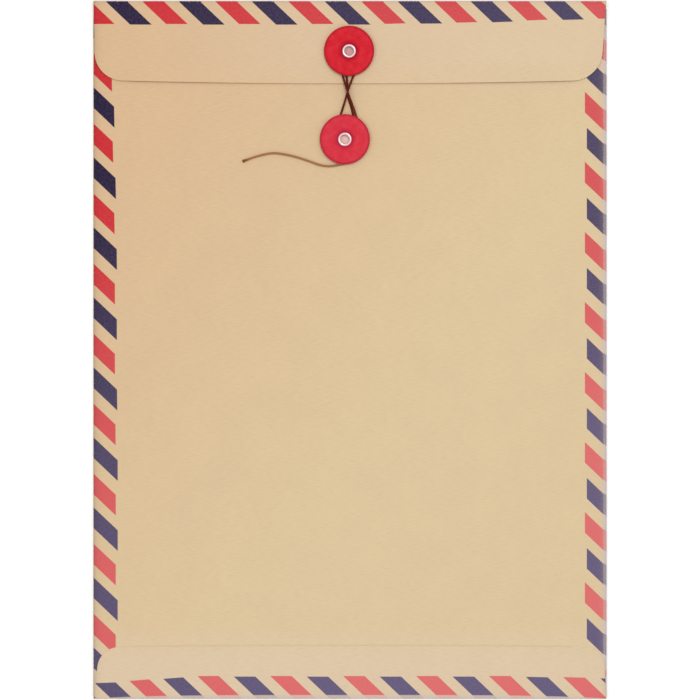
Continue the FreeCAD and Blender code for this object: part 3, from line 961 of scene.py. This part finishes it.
def flap_patch(sheet, line, way, radius, shape, columns, layer, hole=None):
    """A flap beyond an end fold: tapered sides, bowed free edge, rounded corners."""
    corner, depth = shape["corner"], shape["depth"]
    ends = depth - shape["bow"]
    turns = np.linspace(0, math.pi / 2, CORNER_POINTS)[1:]
    bend = np.linspace(0, radius, HALF_BEND_POINTS)
    plain = steps(radius, ends - corner, sheet.paper.grid)[1:]
    rounded = ends - corner + corner * np.sin(turns)
    reach = np.concatenate([bend, plain, rounded])
    inset = np.clip(reach - (ends - corner), 0, corner)
    cut = corner - np.sqrt(np.clip(corner**2 - inset**2, 0, None))
    u = np.zeros((len(columns), len(reach)))
    free_half = np.zeros(len(columns))
    left_taper, right_taper = shape["tapers"]
    for sign, edge, taper in ((-1, FLAP_LEFT, left_taper), (1, FLAP_RIGHT, right_taper)):
        side = columns * sign >= 0
        width = abs(edge) - taper * reach / ends - cut
        u[side] = (columns[side] / abs(edge))[:, None] * width[None, :]
        free_half[side] = abs(edge) - taper
    bow = shape["bow"] * (1 - (u / free_half[:, None]) ** 2)
    v = line + way * (reach[None, :] + bow * (reach[None, :] / ends) ** 3)
    wear = np.zeros_like(u)
    wear[:, -1] = 0.6
    near = np.abs(v - line) <= radius
    wear[near] = bend_wear(v, line, radius)[near]
    if way < 0:
        u, v, wear = u[:, ::-1], v[:, ::-1], wear[:, ::-1]
    sheet.patch(u, v, wear, layer, hole)


def half_bend(sheet, line, way, radius, columns):
    """The half of an end fold that belongs to the front panel's side."""
    rows = np.linspace(line - way * radius, line, HALF_BEND_POINTS)
    rows = rows if way > 0 else rows[::-1]
    u, v = grid_of(columns, rows)
    sheet.patch(u, v, bend_wear(v, line, radius), "bend")


def build_sheet(paper):
    """The whole blank, patch by patch: front, wrap, back, glue flap and the two end flaps."""
    sheet = SheetMesh(paper)
    inner_left, inner_right = LEFT + LEFT_FOLD, RIGHT - RIGHT_FOLD
    panel_columns = steps(inner_left, inner_right, paper.grid)
    end_columns = np.concatenate([[FLAP_LEFT], panel_columns, [FLAP_RIGHT]])
    side_rows = steps(BACK_FOOT, MOUTH, paper.grid)

    u, v = grid_of(panel_columns, side_rows)
    sheet.patch(u, v, np.zeros_like(u), "front")
    for start, end in ((BOTTOM + BOTTOM_FOLD, BACK_FOOT), (MOUTH, TOP - TOP_FOLD)):
        u, v = grid_of(end_columns, np.array([start, end]))
        sheet.patch(u, v, np.zeros_like(u), "front")

    u, v = grid_of(np.linspace(LEFT - LEFT_FOLD, inner_left, BEND_POINTS), side_rows)
    sheet.patch(u, v, bend_wear(u, LEFT, LEFT_FOLD), "bend")
    cut = FAR_EDGE + SEAM_STEP
    back_columns = np.concatenate([[cut], steps(cut + CUT_STRIP, LEFT - LEFT_FOLD, paper.grid)])
    u, v = grid_of(back_columns, side_rows)
    wear = np.zeros_like(u)
    wear[0] = 1
    wear[:, -1] = 0.5
    hole = (2 * LEFT - LOWER_DISC.x, LOWER_DISC.y)
    sheet.patch(u, v, wear, "back", hole)

    u, v = grid_of(np.linspace(inner_right, RIGHT + RIGHT_FOLD, BEND_POINTS), side_rows)
    sheet.patch(u, v, bend_wear(u, RIGHT, RIGHT_FOLD), "bend")
    glue_columns = steps(RIGHT + RIGHT_FOLD, RIGHT + RIGHT_FOLD + GLUE_FLAP_WIDTH, paper.grid)
    u, v = grid_of(glue_columns, side_rows)
    slant = GLUE_FLAP_SLANT * (u - glue_columns[0]) / GLUE_FLAP_WIDTH
    middle = (MOUTH + BACK_FOOT) / 2
    v = middle + (v - middle) * (1 - slant / ((MOUTH - BACK_FOOT) / 2))
    sheet.patch(u, v, np.zeros_like(u), "glue")

    half_bend(sheet, TOP, 1, TOP_FOLD, end_columns)
    half_bend(sheet, BOTTOM, -1, BOTTOM_FOLD, end_columns)
    flap_hole = (UPPER_DISC.x, 2 * TOP - UPPER_DISC.y)
    flap_patch(sheet, TOP, 1, TOP_FOLD, CLOSURE_FLAP, end_columns, "flap", flap_hole)
    flap_patch(sheet, BOTTOM, -1, BOTTOM_FOLD, BOTTOM_FLAP, end_columns, "foot")
    return sheet


# Objects
def link(piece):
    bpy.context.scene.collection.objects.link(piece)


def new_piece(name, vertices, faces, uv_name=None, uvs=None, values=None, edges=()):
    """A mesh object at the origin, with one UV map and any point attributes."""
    mesh = bpy.data.meshes.new(name)
    mesh.from_pydata([tuple(p) for p in vertices], edges, faces)
    if uv_name:
        layer = mesh.uv_layers.new(name=uv_name)
        corners = np.zeros(len(mesh.loops), dtype=np.int32)
        mesh.loops.foreach_get("vertex_index", corners)
        layer.data.foreach_set("uv", np.asarray(uvs, dtype=np.float32)[corners].ravel())
    for key, numbers in (values or {}).items():
        attribute = mesh.attributes.new(key, "FLOAT", "POINT")
        attribute.data.foreach_set("value", np.asarray(numbers, dtype=np.float32))
    piece = bpy.data.objects.new(name, mesh)
    link(piece)
    return piece


def evaluated_mesh(piece):
    graph = bpy.context.evaluated_depsgraph_get()
    graph.update()
    return bpy.data.meshes.new_from_object(piece.evaluated_get(graph))


def apply_modifiers(piece):
    mesh = evaluated_mesh(piece)
    piece.modifiers.clear()
    old = piece.data
    piece.data = mesh
    mesh.name = old.name
    bpy.data.meshes.remove(old)


def shade(piece, angle):
    """Smooth, with the edges sharper than the angle kept crisp."""
    piece.data.shade_smooth()
    piece.data.set_sharp_from_angle(angle=math.radians(angle))


def edit_mesh(piece, change):
    """Makes one change to the piece's mesh by way of bmesh."""
    work = bmesh.new()
    work.from_mesh(piece.data)
    change(work)
    work.to_mesh(piece.data)
    work.free()


def lathe(name, profile, centre, level, segments):
    """A closed section of (radius, height) points turned about an upright axis."""
    turns = np.linspace(0, 2 * math.pi, segments, endpoint=False)
    vertices, flat = [], []
    for turn in turns:
        for radius, height in profile:
            x, y = radius * math.cos(turn), radius * math.sin(turn)
            vertices.append((centre.x + x, centre.y + y, level + height))
            flat.append((x, y))
    count = len(profile)
    faces = []
    for n in range(segments):
        m = (n + 1) % segments
        for k in range(count):
            j = (k + 1) % count
            faces.append((n * count + k, m * count + k, m * count + j, n * count + j))
    piece = new_piece(name, vertices, faces, "face", flat)
    edit_mesh(piece, lambda work: bmesh.ops.recalc_face_normals(work, faces=work.faces))
    return piece


def arc_points(centre, radius, start, end, count):
    """Points of an arc in a section, from one angle in degrees to another."""
    angles = np.radians(np.linspace(start, end, count))
    return [(centre[0] + radius * math.cos(a), centre[1] + radius * math.sin(a)) for a in angles]


# String
def route_line():
    """The points of the string's smooth line, read from its spline."""
    curve = bpy.data.curves.new("string_route", "CURVE")
    curve.dimensions = "3D"
    curve.resolution_u = ROUTE_SAMPLES
    spline = curve.splines.new("NURBS")
    spline.points.add(len(STRING_ROUTE) - 1)
    for point, (across, drop, up) in zip(spline.points, STRING_ROUTE):
        point.co = (across * MM, TOP - drop * MM, up * MM, 1)
    spline.order_u = 3
    spline.use_endpoint_u = True
    guide = bpy.data.objects.new("string_route", curve)
    link(guide)
    mesh = evaluated_mesh(guide)
    line = [tuple(vertex.co) for vertex in mesh.vertices]
    bpy.data.objects.remove(guide)
    bpy.data.curves.remove(curve)
    bpy.data.meshes.remove(mesh)
    return line


def twist_tree(material):
    """Geometry nodes that lay plies round a line, twist them and open them at the cut end."""
    tree = bpy.data.node_groups.new("twisted_plies", "GeometryNodeTree")
    tree.is_modifier = True
    tree.interface.new_socket("Geometry", in_out="INPUT", socket_type="NodeSocketGeometry")
    tree.interface.new_socket("Plies", in_out="INPUT", socket_type="NodeSocketInt")
    for label in ("Radius", "Pitch", "Step", "Fray"):
        tree.interface.new_socket(label, in_out="INPUT", socket_type="NodeSocketFloat")
    tree.interface.new_socket("Geometry", in_out="OUTPUT", socket_type="NodeSocketGeometry")
    make = NodeMaker(tree)
    given = make.add("NodeGroupInput").outputs
    curve = make.add("GeometryNodeMeshToCurve", {"Mesh": given["Geometry"]}).outputs[0]
    resampled = make.add(
        "GeometryNodeResampleCurve", {"Curve": curve, "Length": given["Step"]}, mode="LENGTH"
    )
    spline = make.add("GeometryNodeSplineParameter").outputs
    marked = make.add(
        "GeometryNodeStoreNamedAttribute",
        {"Geometry": resampled.outputs[0], "Name": "along", "Value": spline["Factor"]},
        data_type="FLOAT",
        domain="POINT",
    ).outputs[0]
    copies = make.add(
        "GeometryNodeDuplicateElements", {"Geometry": marked, "Amount": given["Plies"]}, domain="SPLINE"
    ).outputs
    share = make.divided(copies["Duplicate Index"], given["Plies"])
    lap = make.divided(spline["Length"], given["Pitch"])
    angle = make.times(make.plus(lap, share), 2 * math.pi)
    ply_radius = make.divided(given["Radius"], 1 + THREE_PLY_LAY)
    opening = make.times(make.spread(spline["Factor"], 0.988, 1.0), given["Fray"])
    lay_radius = make.times(ply_radius, make.plus(THREE_PLY_LAY, opening))
    normal = make.add("GeometryNodeInputNormal").outputs[0]
    tangent = make.add("GeometryNodeInputTangent").outputs[0]
    sideways = make.vector("CROSS_PRODUCT", tangent, normal)
    parts = []
    for axis, wave in ((normal, "COSINE"), (sideways, "SINE")):
        parts.append(make.scaled(axis, make.times(make.math(wave, angle), lay_radius)))
    moved = make.add(
        "GeometryNodeSetPosition", {"Geometry": copies["Geometry"], "Offset": make.vector("ADD", *parts)}
    ).outputs[0]
    ring = make.add("GeometryNodeCurvePrimitiveCircle", {"Resolution": 7, "Radius": ply_radius}).outputs[0]
    tube = make.add(
        "GeometryNodeCurveToMesh", {"Curve": moved, "Profile Curve": ring, "Fill Caps": True}
    ).outputs[0]
    smooth = make.add("GeometryNodeSetShadeSmooth", {"Geometry": tube}).outputs[0]
    real = make.add("GeometryNodeRealizeInstances", {"Geometry": smooth}).outputs[0]
    painted = make.add("GeometryNodeSetMaterial", {"Geometry": real, "Material": material}).outputs[0]
    make.put(make.add("NodeGroupOutput").inputs[0], painted)
    return tree


def set_tree_input(modifier, label, value):
    for item in modifier.node_group.interface.items_tree:
        if item.item_type == "SOCKET" and item.in_out == "INPUT" and item.name == label:
            modifier[item.identifier] = value


def distance_to_line(points, line):
    """Level distance from each point to the nearest point of the line."""
    flat = np.asarray(line)[:, :2]
    return np.array([np.min(np.hypot(*(flat - point[:2]).T)) for point in points])


# Operators
class EnvelopePaperOperator(bpy.types.Operator):
    """Folds the sheet of kraft from its blank and prints its border"""

    bl_idname = "envelope.paper"
    bl_label = "Paper and print"

    def execute(self, context):
        paper, ink = context.scene.envelope_paper, context.scene.envelope_print
        sheet = build_sheet(paper)
        piece = new_piece(
            "envelope_paper", sheet.places, sheet.faces, "blank", sheet.blank, {"wear": sheet.wear}
        )
        edit_mesh(piece, lambda work: bmesh.ops.remove_doubles(work, verts=work.verts, dist=SAME_POINT))
        piece.data.materials.append(printed_kraft(paper, ink))
        piece.data.materials.append(plain_kraft("kraft_inside", paper, paper.inside, 0.9))
        piece.data.materials.append(plain_kraft("kraft_cut_edge", paper, paper.cut_edge, 0.0))
        wall = piece.modifiers.new("thickness", "SOLIDIFY")
        wall.thickness = PAPER
        wall.offset = -1
        wall.material_offset = 1
        wall.material_offset_rim = 2
        apply_modifiers(piece)
        shade(piece, 50)
        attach(piece, "root")
        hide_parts("paper_sheet", "navy_stripes", "red_stripes")
        return {"FINISHED"}


class EnvelopeDiscsOperator(bpy.types.Operator):
    """Presses the two card discs, with the string's ridges showing through them"""

    bl_idname = "envelope.discs"
    bl_label = "Card discs"

    def section(self, settings):
        """The card's closed section, from its hole out to the rim and back."""
        rim = (UPPER_CARD_BOX[1].x - UPPER_CARD_BOX[0].x) / 2 - DISC_EDGE
        clamped = np.linspace(HOLE_RADIUS, DISC_SEAT, 4)
        dished = np.linspace(DISC_SEAT, DISC_SHOULDER, 9)[1:]
        level = np.linspace(DISC_SHOULDER, rim, 22)[1:]
        radii = np.concatenate([clamped, dished, level])
        share = np.clip((radii - DISC_SEAT) / (DISC_SHOULDER - DISC_SEAT), 0, 1)
        rise = settings.rise * share * share * (3 - 2 * share)
        under = list(zip(radii, rise))
        over = list(zip(radii[::-1], rise[::-1] + settings.thickness))
        low, high = settings.rise + DISC_EDGE, settings.rise + settings.thickness - DISC_EDGE
        round_under = arc_points((rim, low), DISC_EDGE, -75, 0, 5)
        round_over = arc_points((rim, high), DISC_EDGE, 0, 75, 5)
        return under + round_under + round_over + over

    def press(self, piece, centre, line):
        """Raises the card a little over each strand under it."""
        mesh = piece.data
        places = np.zeros(len(mesh.vertices) * 3)
        mesh.vertices.foreach_get("co", places)
        places = places.reshape(-1, 3)
        out = np.hypot(places[:, 0] - centre.x, places[:, 1] - centre.y)
        away = distance_to_line(places, line)
        reach = np.clip((out - RIDGE_START) / RIDGE_EASE, 0, 1)
        ridge = RIDGE * np.exp(-((away / RIDGE_REACH) ** 2)) * reach
        turn = np.arctan2(places[:, 1] - centre.y, places[:, 0] - centre.x)
        rim_share = np.clip((out - WOBBLE_START) / WOBBLE_EASE, 0, 1)
        wobble = WOBBLE * (np.sin(3 * turn + 0.7) + 0.6 * np.sin(5 * turn + 2)) * rim_share**2
        places[:, 2] += ridge + wobble
        mesh.vertices.foreach_set("co", places.ravel())
        mesh.update()

    def execute(self, context):
        settings = context.scene.envelope_discs
        line = route_line()
        discs = (
            ("upper_disc_card", "flap_disc", UPPER_DISC, FLAP_TOP, settings.upper, settings.upper_pressing),
            ("lower_disc_card", "body_disc", LOWER_DISC, BACK_TOP, settings.lower, settings.lower_pressing),
        )
        for name, node, centre, level, colour, pressing in discs:
            piece = lathe(name, self.section(settings), centre, level, settings.segments)
            self.press(piece, centre, line)
            piece.data.materials.append(red_card(name.replace("_disc", ""), colour, pressing))
            shade(piece, 60)
            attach(piece, "root")
            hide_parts(node)
        return {"FINISHED"}


class EnvelopeEyeletsOperator(bpy.types.Operator):
    """Rolls the two metal eyelets through their discs"""

    bl_idname = "envelope.eyelets"
    bl_label = "Eyelets"

    def section(self, settings, card):
        """The metal's closed section: bore, domed flange, barrel and rolled end."""
        bore = settings.bore / 2
        barrel = bore + settings.metal_thickness
        flange, crimp = settings.flange / 2, settings.crimp / 2
        bead = settings.bead
        points = [(bore, -PAPER), (bore, card)]
        for rim, seat, way in ((flange, card, 1), (crimp, -PAPER, -1)):
            middle = (bore + rim) / 2
            half = (rim - bore) / 2
            angles = np.linspace(180, 0, 15) if way > 0 else np.linspace(0, -180, 15)
            dome = [
                (middle + half * math.cos(a), seat + bead * math.sin(a)) for a in np.radians(angles)
            ]
            if way > 0:
                points += dome[1:] + [(barrel, seat), (barrel, -PAPER)]
            else:
                points += dome[:-1]
        return points

    def execute(self, context):
        settings = context.scene.envelope_eyelets
        metal = eyelet_metal(settings.metal)
        card = context.scene.envelope_discs.thickness
        eyelets = (
            ("upper_eyelet_metal", "flap_eyelet", UPPER_DISC, FLAP_TOP),
            ("lower_eyelet_metal", "body_eyelet", LOWER_DISC, BACK_TOP),
        )
        for name, node, centre, level in eyelets:
            piece = lathe(name, self.section(settings, card), centre, level, EYELET_SEGMENTS)
            piece.data.materials.append(metal)
            shade(piece, 40)
            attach(piece, "root")
            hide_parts(node)
        return {"FINISHED"}


class EnvelopeStringOperator(bpy.types.Operator):
    """Twists the string along its route round the discs"""

    bl_idname = "envelope.string"
    bl_label = "String"

    def execute(self, context):
        settings = context.scene.envelope_string
        line = route_line()
        edges = [(n, n + 1) for n in range(len(line) - 1)]
        piece = new_piece("twisted_string", line, [], edges=edges)
        twist = piece.modifiers.new("twist", "NODES")
        twist.node_group = twist_tree(waxed_string(settings))
        values = {
            "Plies": settings.plies,
            "Radius": settings.diameter / 2,
            "Pitch": settings.pitch,
            "Step": settings.pitch / TWIST_STEPS,
            "Fray": FRAY,
        }
        for label, value in values.items():
            set_tree_input(twist, label, value)
        apply_modifiers(piece)
        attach(piece, "root")
        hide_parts("tie_string")
        return {"FINISHED"}


class EnvelopeStageOperator(bpy.types.Operator):
    """Lays the table, hangs the lights and sets the camera above the envelope"""

    bl_idname = "envelope.stage"
    bl_label = "Stage"

    def table(self):
        corners = ((-1, -1), (1, -1), (1, 1), (-1, 1))
        vertices = [(x * TABLE_REACH, y * TABLE_REACH, -TABLE_DROP) for x, y in corners]
        piece = new_piece("table", vertices, [(0, 1, 2, 3)])
        material, make, shader = new_material("white_table")
        shader.inputs["Base Color"].default_value = (0.93, 0.93, 0.93, 1)
        shader.inputs["Roughness"].default_value = 0.9
        shader.inputs["Specular IOR Level"].default_value = 0.0
        path = make.add("ShaderNodeLightPath").outputs
        lift = make.times(path["Is Camera Ray"], 0.12)
        glow = make.add("ShaderNodeEmission", {"Color": (1, 1, 1, 1), "Strength": lift})
        both = make.add("ShaderNodeAddShader")
        make.put(both.inputs[0], shader.outputs[0])
        make.put(both.inputs[1], glow.outputs[0])
        make.put(material.node_tree.nodes["Material Output"].inputs["Surface"], both.outputs[0])
        piece.data.materials.append(material)

    def light(self, name, place, size, power, colour):
        lamp = bpy.data.lights.new(name, "AREA")
        lamp.shape = "DISK"
        lamp.size = size
        lamp.energy = power
        lamp.color = colour
        piece = bpy.data.objects.new(name, lamp)
        piece.location = place
        piece.rotation_euler = (Vector((0, 0, 0)) - Vector(place)).to_track_quat("-Z", "Y").to_euler()
        link(piece)

    def world(self, strength):
        world = bpy.data.worlds.new("studio")
        world.use_nodes = True
        make = NodeMaker(world.node_tree)
        background = world.node_tree.nodes["Background"]
        path = make.add("ShaderNodeLightPath").outputs
        make.put(background.inputs["Color"], (1, 1, 1, 1))
        make.put(background.inputs["Strength"], make.spread(path["Is Camera Ray"], 0, 1, strength, 1.0))
        bpy.context.scene.world = world

    def camera(self, settings):
        lens = bpy.data.cameras.new("camera")
        lens.sensor_width = 36.0
        lens.lens = lens.sensor_width * settings.distance / settings.picture_height
        eye = bpy.data.objects.new("camera", lens)
        eye.location = (0, -settings.picture_drop, settings.distance)
        lens.clip_start = 0.01
        lens.clip_end = 100
        link(eye)
        bpy.context.scene.camera = eye

    def execute(self, context):
        settings = context.scene.envelope_stage
        self.table()
        self.light("key_light", KEY_PLACE, 0.7, settings.key, (1.0, 0.985, 0.96))
        self.light("fill_light", FILL_PLACE, 1.4, settings.fill, (1.0, 0.95, 0.92))
        self.world(settings.sky)
        self.camera(settings)
        context.scene.view_settings.view_transform = "Standard"
        return {"FINISHED"}


PIECE_OPERATORS = (
    EnvelopeStageOperator,
    EnvelopePaperOperator,
    EnvelopeDiscsOperator,
    EnvelopeEyeletsOperator,
    EnvelopeStringOperator,
)
SETTINGS = {
    "envelope_paper": EnvelopePaperSettings,
    "envelope_print": EnvelopePrintSettings,
    "envelope_discs": EnvelopeDiscSettings,
    "envelope_eyelets": EnvelopeEyeletSettings,
    "envelope_string": EnvelopeStringSettings,
    "envelope_stage": EnvelopeStageSettings,
}


class EnvelopePanel(bpy.types.Panel):
    """Lists the envelope's pieces and their settings"""

    bl_idname = "VIEW3D_PT_envelope"
    bl_label = "Envelope"
    bl_space_type = "VIEW_3D"
    bl_region_type = "UI"
    bl_category = "Envelope"

    def draw(self, context):
        for operator in PIECE_OPERATORS:
            self.layout.operator(operator.bl_idname)
        for name, group in SETTINGS.items():
            box = self.layout.box()
            for key in group.__annotations__:
                box.prop(getattr(context.scene, name), key)


def register():
    for group in SETTINGS.values():
        bpy.utils.register_class(group)
    for operator in PIECE_OPERATORS:
        bpy.utils.register_class(operator)
    bpy.utils.register_class(EnvelopePanel)
    for name, group in SETTINGS.items():
        setattr(bpy.types.Scene, name, PointerProperty(type=group))


def unregister():
    for name in SETTINGS:
        delattr(bpy.types.Scene, name)
    bpy.utils.unregister_class(EnvelopePanel)
    for operator in reversed(PIECE_OPERATORS):
        bpy.utils.unregister_class(operator)
    for group in SETTINGS.values():
        bpy.utils.unregister_class(group)


def main():
    """Makes each piece in turn."""
    register()
    bpy.ops.envelope.stage()
    bpy.ops.envelope.paper()
    bpy.ops.envelope.discs()
    bpy.ops.envelope.eyelets()
    bpy.ops.envelope.string()


if __name__ == "__main__":
    main()
